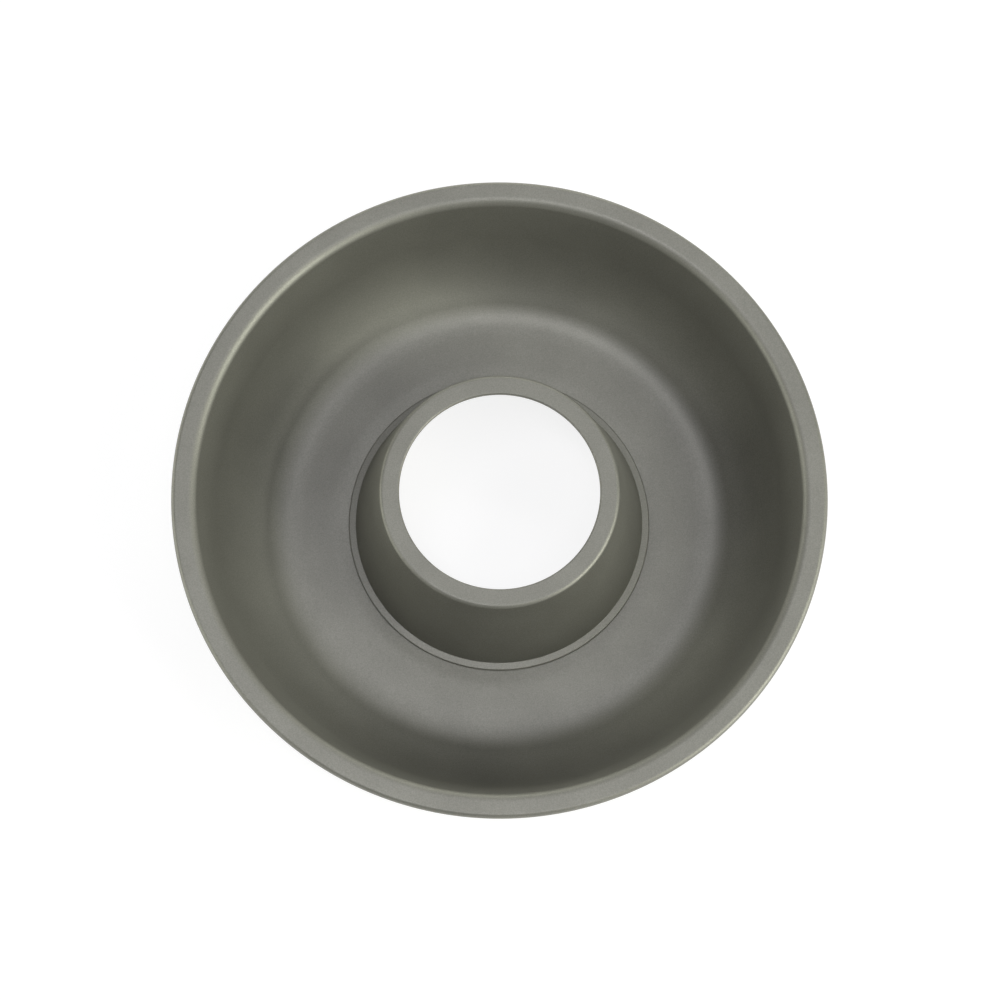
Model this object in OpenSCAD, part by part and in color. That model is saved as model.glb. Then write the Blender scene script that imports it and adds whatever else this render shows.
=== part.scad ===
// Ring-shaped cake pan in two pieces of coated sheet steel: a deep-drawn pan body with a
// rolled rim, and a conical centre tube that is locked into the hole in its floor.
// Millimetres, +Z up. The origin is on the tube's axis, in the plane the pan rests on.

/* [Sheet] */
// Thickness of the steel sheet of both pieces
sheet_t = 0.6; // [0.4:0.05:0.8]

/* [Pan body] */
// Inside diameter at the top of the wall
mouth_d = 232; // [220:1:260]
// Inside diameter at the foot of the wall
base_d = 173; // [166:1:180]
// Depth from the top of the rim to the floor
inside_h = 51; // [40:0.5:70]
// Radius of the corner between floor and wall
base_bend_r = 16; // [6:0.5:18]
// Width of the flared lower part of the wall
flare_w = 19.3; // [14:0.1:22]
// Height of that flared part
flare_h = 14; // [10:0.5:16]
// Radius of the wide curve between the flared part and the steep part above it
flare_bend_r = 42; // [20:1:44]
// Radius of the bend between wall and rim
mouth_bend_r = 3.8; // [1:0.1:5]
// Width of the flat rim, from the top of the wall to its rolled edge
rim_w = 9; // [7:0.25:14]
// Outside radius of the rolled edge of the rim
rim_roll_r = 1.75; // [1.25:0.05:2.25]

/* [Centre tube] */
// Diameter of the hole through the tube
tube_hole_d = 76.4; // [60:0.2:80]
// Width of the flat ring round that hole
tube_ring_w = 7.4; // [5:0.1:9]
// Height of the flat ring above the rim of the pan
tube_stand = 2.5; // [0:0.25:6]
// Depth of the collar that the hole's edge is turned down into
collar_h = 1.5; // [1.5:0.1:6]
// Radius of the bend between collar and flat ring
collar_bend_r = 0.7; // [0.7:0.1:1.4]
// Radius of the bend between flat ring and cone
tube_bend_r = 1.75; // [1:0.05:2.5]

/* [Lock seam] */
// Diameter over the bead that sits on the floor
bead_d = 118.2; // [110:0.2:124]
// Width of the bead, from the cone to its nose
bead_w = 2.9; // [2:0.1:4]
// Slope of the bead's upper face, in degrees
bead_slope = 11; // [0:1:35]
// Radius of the corner between cone and bead
bead_corner_r = 0.3; // [0.1:0.1:1]
// Gap between the two layers of sheet in the bead's nose
bead_gap = 0.1; // [0.05:0.05:0.4]
// Width of the floor's edge that is gripped between bead and turned-out edge
grip_w = 1.6; // [1.2:0.1:2.5]
// Gap left between the seam and the surface that the pan stands on
seam_clear = 0.9; // [0.05:0.05:2]
// Width of the level seat round the floor's hole
seat_w = 7; // [3:0.5:8]
// Width of the gentle slope from that seat down to the floor
seat_slope_w = 14.5; // [6:0.5:16]
// Radius that eases the top and foot of that slope
seat_ease_r = 12; // [4:1:30]

/* [Hidden] */
coat_colour = [0.5, 0.49, 0.46];

// Levels of the food-side faces
floor_z = sheet_t;
rim_z = floor_z + inside_h;
tube_z = rim_z + tube_stand;
seat_rise = sheet_t + seam_clear;
seat_z = floor_z + seat_rise;

// Radii of the food-side faces
mouth_r = mouth_d / 2;
base_r = base_d / 2;
flare_r = base_r + flare_w;
rim_r = mouth_r + rim_w;
tube_hole_r = tube_hole_d / 2;
bead_r = bead_d / 2;
floor_hole_r = bead_r - grip_w;
seat_r = floor_hole_r + seat_w;
seat_foot_r = seat_r + seat_slope_w;

// The bead's nose turns the sheet back on itself in two bends
nose_r = sheet_t + bead_gap / 2;
nose_h = nose_r * (1 + tan((90 - bead_slope) / 2));
bead_foot_z = seat_z + nose_h + bead_w * tan(bead_slope);

// Largest steps along a tight and a wide bend, in degrees, and the radius from which it is wide
bend_step = 7.5;
wide_bend_step = 4;
wide_bend_r = 5;
// Smoothness of the turned forms
turn_fn = 180;
// Points of an outline that lie closer than this are one point
same_point = 0.001;

// A sheet's profile is a path of corners [radius, height] along its food side, each with its
// bend radius. The metal lies on the right-hand side of the path, one sheet deep.
function heading(a, b) = (b - a) / norm(b - a);
function right_of(v) = [v[1], -v[0]];
function cross_of(u, v) = u[0] * v[1] - u[1] * v[0];
function angle_of(v) = atan2(v[1], v[0]);

// Points round corner i of the path, at a depth to the right of it; a left turn is positive
function corner_points(path, bends, i, depth) = let (
        u = heading(path[i - 1], path[i]),
        v = heading(path[i], path[i + 1]),
        turn = atan2(cross_of(u, v), u * v),
        setback = bends[i] * tan(abs(turn) / 2),
        centre = path[i] - setback * u - sign(turn) * bends[i] * right_of(u),
        reach = sign(turn) * bends[i] + depth,
        start = angle_of(right_of(u)),
        steps = ceil(abs(turn) / (bends[i] < wide_bend_r ? bend_step : wide_bend_step))
    )
    [for (k = [0 : steps]) let (a = start + turn * k / steps) centre + reach * [cos(a), sin(a)]];

// Points of one side of the sheet, from the first end of the path to the last
function side_points(path, bends, depth) = let (
        last = len(path) - 1,
        first_out = right_of(heading(path[0], path[1])),
        last_out = right_of(heading(path[last - 1], path[last]))
    )
    concat(
        [path[0] + depth * first_out],
        [for (i = [1 : last - 1]) each corner_points(path, bends, i, depth)],
        [path[last] + depth * last_out]
    );

function distinct(points) = [
    for (i = [0 : len(points) - 1]) if (i == 0 || norm(points[i] - points[i - 1]) > same_point) points[i]
];
function reversed(points) = [for (i = [len(points) - 1 : -1 : 0]) points[i]];

// Sheet turned round the axis, from a path and its bend radii
module turned_sheet(path, bends) {
    food_side = distinct(side_points(path, bends, 0));
    back_side = distinct(side_points(path, bends, sheet_t));
    rotate_extrude($fn = turn_fn) polygon(concat(food_side, reversed(back_side)));
}

// Pan body: floor rising to a seat round its hole, flared and then steep wall, flat rim,
// rolled edge
module pan_body() {
    roll_w = 2 * rim_roll_r;
    path = [
        [floor_hole_r, seat_z],
        [seat_r, seat_z],
        [seat_foot_r, floor_z],
        [base_r, floor_z],
        [flare_r, floor_z + flare_h],
        [mouth_r, rim_z],
        [rim_r, rim_z],
        [rim_r, rim_z - roll_w],
        [rim_r - roll_w, rim_z - roll_w],
        [rim_r - roll_w, rim_z - rim_roll_r + sheet_t / 2]
    ];
    bends = [
        0, seat_ease_r, seat_ease_r, base_bend_r, flare_bend_r, mouth_bend_r,
        rim_roll_r, rim_roll_r, rim_roll_r, 0
    ];
    color(coat_colour) turned_sheet(path, bends);
}

// Centre tube: collar, flat ring and cone, then the bead that sits on the floor, the neck
// through the floor's hole and the edge turned out under the floor
module centre_tube() {
    path = [
        [tube_hole_r, tube_z - collar_h],
        [tube_hole_r, tube_z],
        [tube_hole_r + tube_ring_w, tube_z],
        [bead_r - bead_w, bead_foot_z],
        [bead_r, seat_z + nose_h],
        [bead_r, seat_z],
        [floor_hole_r, seat_z],
        [floor_hole_r, seat_z - sheet_t],
        [bead_r, seat_z - sheet_t]
    ];
    bends = [0, collar_bend_r, tube_bend_r, bead_corner_r, nose_r, nose_r, 0, 0, 0];
    color(coat_colour) turned_sheet(path, bends);
}

pan_body();
centre_tube();
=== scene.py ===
import bpy
import math
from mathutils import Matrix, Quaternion, Vector


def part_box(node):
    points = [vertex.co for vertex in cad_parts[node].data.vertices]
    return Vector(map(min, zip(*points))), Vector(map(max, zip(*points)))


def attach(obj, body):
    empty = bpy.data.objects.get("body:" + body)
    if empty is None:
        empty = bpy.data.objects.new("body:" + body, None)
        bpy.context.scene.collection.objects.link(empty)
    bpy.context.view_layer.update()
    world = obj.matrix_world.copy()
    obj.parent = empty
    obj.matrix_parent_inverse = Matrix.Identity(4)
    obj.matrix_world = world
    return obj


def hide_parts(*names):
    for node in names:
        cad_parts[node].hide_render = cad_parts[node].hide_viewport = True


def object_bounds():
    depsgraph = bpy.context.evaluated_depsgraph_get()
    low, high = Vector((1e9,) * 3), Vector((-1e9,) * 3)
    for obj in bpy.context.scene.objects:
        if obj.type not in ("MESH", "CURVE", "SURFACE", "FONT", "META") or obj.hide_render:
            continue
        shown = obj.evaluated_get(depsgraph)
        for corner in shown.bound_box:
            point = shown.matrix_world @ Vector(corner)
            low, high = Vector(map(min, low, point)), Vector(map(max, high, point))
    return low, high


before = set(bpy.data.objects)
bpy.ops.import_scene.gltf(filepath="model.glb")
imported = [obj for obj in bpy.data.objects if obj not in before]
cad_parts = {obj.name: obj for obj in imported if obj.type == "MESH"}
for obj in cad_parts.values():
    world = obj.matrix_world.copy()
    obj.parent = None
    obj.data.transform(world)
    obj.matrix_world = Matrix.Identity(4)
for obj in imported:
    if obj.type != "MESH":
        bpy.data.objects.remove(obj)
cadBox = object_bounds()
rimWidth = cadBox[1].x - cadBox[0].x
print("frame loaded,", len(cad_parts), "nodes, pan is", round(rimWidth, 4), "m across the rim")

mm = 0.001  # sizes are in millimetres where mm stands behind them, and else in metres


# general helpers

def clearSelection():
    if bpy.context.mode != "OBJECT":
        bpy.ops.object.mode_set(mode="OBJECT")
    bpy.ops.object.select_all(action="DESELECT")


def pickPiece(piece):
    clearSelection()
    piece.select_set(True)
    bpy.context.view_layer.objects.active = piece


# camera, at the photograph's angle

cameraView = {
    "lens": 130,                                # mm
    "sensor": 36,                               # mm
    "aim": (0.2 * mm, -2.55 * mm, 49.85 * mm),  # the middle of the picture
    "place": (0, -342.6 * mm, 1381.5 * mm),
    "roll": 1.13,                               # degrees, right end of the rim lower
}


def makeCamera():
    clearSelection()
    place = Vector(cameraView["place"])
    bpy.ops.object.camera_add(location=place)
    camera = bpy.context.object
    camera.name = "photoCamera"
    camera.data.lens = cameraView["lens"]
    camera.data.sensor_width = cameraView["sensor"]
    look = (Vector(cameraView["aim"]) - place).to_track_quat("-Z", "Y")
    camera.rotation_mode = "QUATERNION"
    camera.rotation_quaternion = look @ Quaternion((0, 0, 1), math.radians(cameraView["roll"]))
    bpy.context.scene.camera = camera
    print("camera set")


makeCamera()


# satin coating, the same on both sheets

satinCoat = {
    "colour": (0.269, 0.266, 0.234),
    "metallic": 0.75,
    "roughness": 0.53,
    "roughnessSwing": 0.04,    # how far the grain changes the roughness
    "grainSize": 0.45 * mm,
    "grainDetail": 3,
    "grainShade": 0.10,        # how far the grain darkens and lightens the colour
    "mottleSize": 25 * mm,
    "mottleDetail": 2,
    "mottleShade": 0.05,
    "noiseRange": (0.3, 0.7),  # the part of the noise's range that is stretched to full contrast
    "bump": 0.12,
    "bumpDepth": 0.05 * mm,
}


def addNoise(tree, place, size, detail):
    noise = tree.nodes.new("ShaderNodeTexNoise")
    noise.inputs["Scale"].default_value = 1 / size
    noise.inputs["Detail"].default_value = detail
    tree.links.new(place.outputs["Object"], noise.inputs["Vector"])
    return noise


def spreadNoise(tree, noise, low, high):
    spread = tree.nodes.new("ShaderNodeMapRange")
    spread.inputs["From Min"].default_value = satinCoat["noiseRange"][0]
    spread.inputs["From Max"].default_value = satinCoat["noiseRange"][1]
    spread.inputs["To Min"].default_value = low
    spread.inputs["To Max"].default_value = high
    tree.links.new(noise.outputs["Fac"], spread.inputs["Value"])
    return spread


def makeCoat():
    coat = bpy.data.materials.new("satin coat")
    coat.use_nodes = True
    tree = coat.node_tree
    shader = tree.nodes["Principled BSDF"]
    shader.inputs["Metallic"].default_value = satinCoat["metallic"]
    place = tree.nodes.new("ShaderNodeTexCoord")

    grain = addNoise(tree, place, satinCoat["grainSize"], satinCoat["grainDetail"])
    mottle = addNoise(tree, place, satinCoat["mottleSize"], satinCoat["mottleDetail"])
    grainShade = spreadNoise(tree, grain, 1 - satinCoat["grainShade"], 1 + satinCoat["grainShade"])
    mottleShade = spreadNoise(tree, mottle, 1 - satinCoat["mottleShade"], 1 + satinCoat["mottleShade"])
    shade = tree.nodes.new("ShaderNodeMath")
    shade.operation = "MULTIPLY"
    tree.links.new(grainShade.outputs["Result"], shade.inputs[0])
    tree.links.new(mottleShade.outputs["Result"], shade.inputs[1])

    colour = tree.nodes.new("ShaderNodeVectorMath")
    colour.operation = "SCALE"
    colour.inputs[0].default_value = satinCoat["colour"]
    tree.links.new(shade.outputs["Value"], colour.inputs["Scale"])
    tree.links.new(colour.outputs["Vector"], shader.inputs["Base Color"])

    roughest = satinCoat["roughness"] + satinCoat["roughnessSwing"]
    smoothest = satinCoat["roughness"] - satinCoat["roughnessSwing"]
    roughness = spreadNoise(tree, grain, roughest, smoothest)
    tree.links.new(roughness.outputs["Result"], shader.inputs["Roughness"])

    bump = tree.nodes.new("ShaderNodeBump")
    bump.inputs["Strength"].default_value = satinCoat["bump"]
    bump.inputs["Distance"].default_value = satinCoat["bumpDepth"]
    tree.links.new(grain.outputs["Fac"], bump.inputs["Height"])
    tree.links.new(bump.outputs["Normal"], shader.inputs["Normal"])
    return coat


coat = makeCoat()
print("satin coat made")


# sheet metal: an outline folded stretch by stretch, then spun round the centre line

sheetMetal = {
    "thickness": 0.6 * mm,
    "turnSteps": 256,           # facets once round the pan
    "wideBend": 5 * mm,         # a bend with a larger radius than this is a wide one
    "smallBendStep": 10,        # degrees per facet on a small bend
    "wideBendStep": 2,          # degrees per facet on a wide bend
    "leastFacets": 2,           # facets on even the slightest bend
    "leastRun": 0.001 * mm,     # a straight stretch shorter than this is left out
    "samePoint": 0.002 * mm,    # points closer than this are merged
    "sharpEdge": 60,            # degrees from which an edge counts as a cut one
    "cutReach": 1.05,           # how far from a bare end its edges lie, in sheet thicknesses
    "cutEdgeRound": 0.1 * mm,
    "cutEdgeSegments": 2,
    "smoothAngle": 40,          # degrees up to which facets shade as one surface
}


def leftOf(heading):
    return Vector((-heading.z, 0, heading.x))


def startOutline(name, start):
    # a small plane, merged into the outline's first point
    clearSelection()
    bpy.ops.mesh.primitive_plane_add(size=mm, location=start)
    piece = bpy.context.object
    piece.name = name
    piece.data.name = name
    bpy.ops.object.transform_apply(location=True)
    bpy.ops.object.mode_set(mode="EDIT")
    bpy.ops.mesh.select_all(action="SELECT")
    bpy.ops.mesh.merge(type="CENTER")
    return piece


def runStraight(step):
    if step.length > sheetMetal["leastRun"]:
        bpy.ops.mesh.extrude_vertices_move(TRANSFORM_OT_translate={"value": step})


def runBend(start, heading, turn, bend):
    centre = start + leftOf(heading) * math.copysign(bend, turn)
    facet = sheetMetal["wideBendStep"] if bend > sheetMetal["wideBend"] else sheetMetal["smallBendStep"]
    facets = max(sheetMetal["leastFacets"], math.ceil(math.degrees(abs(turn)) / facet))
    bpy.ops.mesh.spin(steps=facets, angle=turn, center=centre, axis=(0, 1, 0))


def foldOutline(name, corners):
    # a corner is (radius, height, bend radius); the food side is on the left of the way drawn
    points = [Vector((radius, 0, height)) for radius, height, bend in corners]
    bends = [bend for radius, height, bend in corners]
    piece = startOutline(name, points[0])
    here = points[0]
    for before, corner, after, bend in zip(points, points[1:], points[2:], bends[1:]):
        heading = (corner - before).normalized()
        leaving = (after - corner).normalized()
        turn = math.atan2(heading.x * leaving.z - heading.z * leaving.x, heading.dot(leaving))
        setBack = bend * math.tan(abs(turn) / 2)
        bendStart = corner - heading * setBack
        runStraight(bendStart - here)
        if bend > 0:
            runBend(bendStart, heading, turn, bend)
        here = corner + leaving * setBack
    runStraight(points[-1] - here)
    return piece


def spinOutline():
    # the outline is still open in edit mode
    bpy.ops.mesh.select_all(action="SELECT")
    bpy.ops.mesh.spin(steps=sheetMetal["turnSteps"], angle=2 * math.pi, center=(0, 0, 0), axis=(0, 0, 1))
    bpy.ops.mesh.select_all(action="SELECT")
    bpy.ops.mesh.remove_doubles(threshold=sheetMetal["samePoint"])
    bpy.ops.mesh.normals_make_consistent(inside=False)
    bpy.ops.object.mode_set(mode="OBJECT")


def faceFoodSide(piece, corners):
    # the face on the outline's first stretch has to look left of the way drawn
    start, end = [Vector((radius, 0, height)) for radius, height, bend in corners[:2]]
    middle = (start + end) / 2
    nearest = min(piece.data.polygons, key=lambda face: (face.center - middle).length)
    if nearest.normal.dot(leftOf(end - start)) < 0:
        pickPiece(piece)
        bpy.ops.object.mode_set(mode="EDIT")
        bpy.ops.mesh.select_all(action="SELECT")
        bpy.ops.mesh.flip_normals()
        bpy.ops.object.mode_set(mode="OBJECT")


def giveThickness(piece):
    pickPiece(piece)
    wall = piece.modifiers.new("sheet", "SOLIDIFY")
    wall.thickness = sheetMetal["thickness"]
    wall.offset = -1  # away from the food side
    wall.use_even_offset = True
    bpy.ops.object.modifier_apply(modifier=wall.name)


def roundCutEdges(piece, corners):
    # the bare edges are at the outline's two ends, and one thickness behind them
    pickPiece(piece)
    bpy.ops.object.mode_set(mode="EDIT")
    bpy.ops.mesh.select_mode(type="EDGE")
    bpy.ops.mesh.select_all(action="DESELECT")
    bpy.ops.mesh.edges_select_sharp(sharpness=math.radians(sheetMetal["sharpEdge"]))
    bpy.ops.object.mode_set(mode="OBJECT")
    points = piece.data.vertices
    ends = (corners[0], corners[-1])
    reach = sheetMetal["cutReach"] * sheetMetal["thickness"]
    for edge in piece.data.edges:
        middle = (points[edge.vertices[0]].co + points[edge.vertices[1]].co) / 2
        radius = middle.to_2d().length
        near = [math.hypot(radius - end[0], middle.z - end[1]) < reach for end in ends]
        edge.select = edge.select and any(near)
    bpy.ops.object.mode_set(mode="EDIT")
    bpy.ops.mesh.bevel(offset=sheetMetal["cutEdgeRound"], segments=sheetMetal["cutEdgeSegments"])
    bpy.ops.mesh.select_mode(type="VERT")
    bpy.ops.object.mode_set(mode="OBJECT")


def smoothSheet(piece):
    pickPiece(piece)
    bpy.ops.object.shade_smooth_by_angle(angle=math.radians(sheetMetal["smoothAngle"]))
    even = piece.modifiers.new("even shading", "WEIGHTED_NORMAL")
    even.keep_sharp = True
    bpy.ops.object.modifier_apply(modifier=even.name)


def makeSheet(name, node, corners):
    piece = foldOutline(name, corners)
    spinOutline()
    faceFoodSide(piece, corners)
    giveThickness(piece)
    roundCutEdges(piece, corners)
    smoothSheet(piece)
    piece.data.materials.append(coat)
    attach(piece, "root")
    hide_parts(node)
    print(piece.name, "made,", len(piece.data.polygons), "faces")


# lock seam, shared by both sheets: the tube's folded bead grips the edge of the floor

lockSeam = {
    "beadRadius": 59.1 * mm,
    "beadWidth": 2.9 * mm,
    "beadSlope": 11,        # degrees
    "beadCorner": 0.3 * mm,
    "foldGap": 0.1 * mm,    # air between the folded layers
    "grip": 1.6 * mm,       # width of the floor's edge inside the seam
    "clear": 0.9 * mm,      # air under the seam
}

floorHeight = sheetMetal["thickness"]
seatHeight = 2 * sheetMetal["thickness"] + lockSeam["clear"]
floorHole = lockSeam["beadRadius"] - lockSeam["grip"]


# the pan body: floor, base bend, wall, flange and rolled rim in one sheet

panBody = {
    "flangeWidth": 9 * mm,
    "rollRadius": 1.75 * mm,
    "mouthBend": 3.8 * mm,
    "flareWidth": 19.3 * mm,  # the lower wall leans out, the upper wall is steep
    "flareHeight": 14 * mm,
    "flareBend": 42 * mm,
    "baseRadius": 86.5 * mm,
    "baseBend": 16 * mm,
    "seatWidth": 7 * mm,
    "seatSlope": 14.5 * mm,   # radial run from the seat down to the floor
    "seatEase": 40 * mm,      # wider than in the solid, by 0.05 mm at most, so no crease shows
}


def makePanBody():
    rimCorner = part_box("pan_body")[1]
    rimRadius = rimCorner.x
    rimHeight = rimCorner.z
    mouthRadius = rimRadius - panBody["flangeWidth"]
    roll = panBody["rollRadius"]
    seatEnd = floorHole + panBody["seatWidth"]
    flareRadius = panBody["baseRadius"] + panBody["flareWidth"]
    curlEnd = rimHeight - roll + sheetMetal["thickness"] / 2
    corners = [
        (floorHole, seatHeight, 0),
        (seatEnd, seatHeight, panBody["seatEase"]),
        (seatEnd + panBody["seatSlope"], floorHeight, panBody["seatEase"]),
        (panBody["baseRadius"], floorHeight, panBody["baseBend"]),
        (flareRadius, floorHeight + panBody["flareHeight"], panBody["flareBend"]),
        (mouthRadius, rimHeight, panBody["mouthBend"]),
        (rimRadius, rimHeight, roll),
        (rimRadius, rimHeight - 2 * roll, roll),
        (rimRadius - 2 * roll, rimHeight - 2 * roll, roll),
        (rimRadius - 2 * roll, curlEnd, 0),
    ]
    makeSheet("panBodySheet", "pan_body", corners)


# the centre tube: collar, top, cone, and the bead, neck and turned-out edge of the lock seam

centreTube = {
    "holeRadius": 38.2 * mm,
    "topWidth": 7.4 * mm,
    "topBend": 1.75 * mm,
    "collar": 1.5 * mm,
    "collarBend": 0.7 * mm,
}


def makeCentreTube():
    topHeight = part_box("centre_tube")[1].z
    hole = centreTube["holeRadius"]
    bead = lockSeam["beadRadius"]
    slope = math.radians(lockSeam["beadSlope"])
    noseBend = sheetMetal["thickness"] + lockSeam["foldGap"] / 2
    noseRise = noseBend * (1 + math.tan((math.pi / 2 - slope) / 2))
    beadFoot = seatHeight + noseRise + lockSeam["beadWidth"] * math.tan(slope)
    under = seatHeight - sheetMetal["thickness"]
    corners = [
        (hole, topHeight - centreTube["collar"], 0),
        (hole, topHeight, centreTube["collarBend"]),
        (hole + centreTube["topWidth"], topHeight, centreTube["topBend"]),
        (bead - lockSeam["beadWidth"], beadFoot, lockSeam["beadCorner"]),
        (bead, seatHeight + noseRise, noseBend),
        (bead, seatHeight, noseBend),
        (floorHole, seatHeight, 0),
        (floorHole, under, 0),
        (bead, under, 0),
    ]
    makeSheet("centreTubeSheet", "centre_tube", corners)


makePanBody()
makeCentreTube()


# studio: white floor and low backdrop, soft boxes and a plain world

studio = {
    "floorWidth": 12,
    "floorDrop": 0.05 * mm,  # keeps the floor's face and the pan's from lying in one plane
    "backdropRadius": 5.8,
    "backdropHeight": 1.2,
    "backdropSides": 96,
    "whiteGlow": 0.84,       # what the camera sees of the white apart from the light on it
    "whiteShade": 0.25,      # how much of the light on the white the camera sees
    "whiteBounce": 0.8,      # how much light the white gives back to the pan
    "worldLevel": 0.03,
    "lampDistance": 3,
}

lampTints = {
    "warm": (0.985, 1, 0.91),
    "cool": (1, 1, 1.08),
}

# azimuth from the right towards the back, and elevation, in degrees; size is width and height in
# metres; level is the lamp's own brightness
softBoxes = {
    "key": {"azimuth": -27, "elevation": 32, "size": (1.7, 0.85), "level": 8.6, "tint": "warm"},
    "keyTop": {"azimuth": -20, "elevation": 48, "size": (1.8, 0.75), "level": 3.6, "tint": "warm"},
    "keyLow": {"azimuth": -18, "elevation": 17, "size": (2.6, 0.6), "level": 3.8, "tint": "warm"},
    "right": {"azimuth": 20, "elevation": 45, "size": (1.5, 0.85), "level": 1.1, "tint": "warm"},
    "left": {"azimuth": 192, "elevation": 27, "size": (2.1, 1.2), "level": 2.4, "tint": "warm"},
    "lowLeft": {"azimuth": 170, "elevation": 8, "size": (3.5, 0.8), "level": 2.0, "tint": "warm"},
    "back": {"azimuth": 88, "elevation": 20, "size": (3.4, 1.0), "level": 2.7, "tint": "warm"},
    "backTop": {"azimuth": 70, "elevation": 61, "size": (1.8, 0.5), "level": 3.5, "tint": "cool"},
    "overhead": {"azimuth": -130, "elevation": 81, "size": (2.0, 0.55), "level": 7.4, "tint": "cool"},
}


def addDiffuse(tree, level):
    diffuse = tree.nodes.new("ShaderNodeBsdfDiffuse")
    diffuse.inputs["Color"].default_value = (level, level, level, 1)
    return diffuse


def makeWhite():
    white = bpy.data.materials.new("studio white")
    white.use_nodes = True
    tree = white.node_tree
    tree.nodes.clear()
    output = tree.nodes.new("ShaderNodeOutputMaterial")
    bounce = addDiffuse(tree, studio["whiteBounce"])
    shade = addDiffuse(tree, studio["whiteShade"])
    glow = tree.nodes.new("ShaderNodeEmission")
    glow.inputs["Strength"].default_value = studio["whiteGlow"]
    seen = tree.nodes.new("ShaderNodeAddShader")
    tree.links.new(shade.outputs["BSDF"], seen.inputs[0])
    tree.links.new(glow.outputs["Emission"], seen.inputs[1])

    # camera, glossy and transmission rays see the glowing white, and other light meets the plain one
    ray = tree.nodes.new("ShaderNodeLightPath")
    seenRay = ray.outputs["Is Camera Ray"]
    for kind in ("Is Glossy Ray", "Is Transmission Ray"):
        either = tree.nodes.new("ShaderNodeMath")
        either.operation = "MAXIMUM"
        tree.links.new(seenRay, either.inputs[0])
        tree.links.new(ray.outputs[kind], either.inputs[1])
        seenRay = either.outputs["Value"]
    mix = tree.nodes.new("ShaderNodeMixShader")
    tree.links.new(seenRay, mix.inputs["Fac"])
    tree.links.new(bounce.outputs["BSDF"], mix.inputs[1])
    tree.links.new(seen.outputs["Shader"], mix.inputs[2])
    tree.links.new(mix.outputs["Shader"], output.inputs["Surface"])
    return white


def makeStage():
    white = makeWhite()
    clearSelection()
    bpy.ops.mesh.primitive_plane_add(size=studio["floorWidth"], location=(0, 0, -studio["floorDrop"]))
    floor = bpy.context.object
    floor.name = "studioFloor"
    clearSelection()
    bpy.ops.mesh.primitive_cylinder_add(vertices=studio["backdropSides"], radius=studio["backdropRadius"],
                                        depth=studio["backdropHeight"], end_fill_type="NOTHING",
                                        location=(0, 0, studio["backdropHeight"] / 2))
    backdrop = bpy.context.object
    backdrop.name = "studioBackdrop"
    for piece in (floor, backdrop):
        piece.data.materials.append(white)


def makeSoftBox(name, box):
    clearSelection()
    azimuth = math.radians(box["azimuth"])
    elevation = math.radians(box["elevation"])
    away = Vector((math.cos(elevation) * math.cos(azimuth), math.cos(elevation) * math.sin(azimuth),
                   math.sin(elevation)))
    bpy.ops.object.light_add(type="AREA", location=away * studio["lampDistance"])
    lamp = bpy.context.object
    lamp.name = name
    lamp.rotation_mode = "QUATERNION"
    lamp.rotation_quaternion = (-away).to_track_quat("-Z", "Y")
    lamp.data.shape = "RECTANGLE"
    lamp.data.color = lampTints[box["tint"]]
    width, height = box["size"]
    lamp.data.size = width
    lamp.data.size_y = height
    lamp.data.energy = box["level"] * math.pi * width * height  # the same brightness at any size


def makeWorld():
    world = bpy.data.worlds.new("plain world")
    bpy.context.scene.world = world
    world.use_nodes = True
    sky = world.node_tree.nodes["Background"]
    sky.inputs["Color"].default_value = (1, 1, 1, 1)
    sky.inputs["Strength"].default_value = studio["worldLevel"]


makeStage()
for boxName, boxValues in softBoxes.items():
    makeSoftBox(boxName, boxValues)
makeWorld()
bpy.context.scene.view_settings.view_transform = "Standard"
print("studio made")
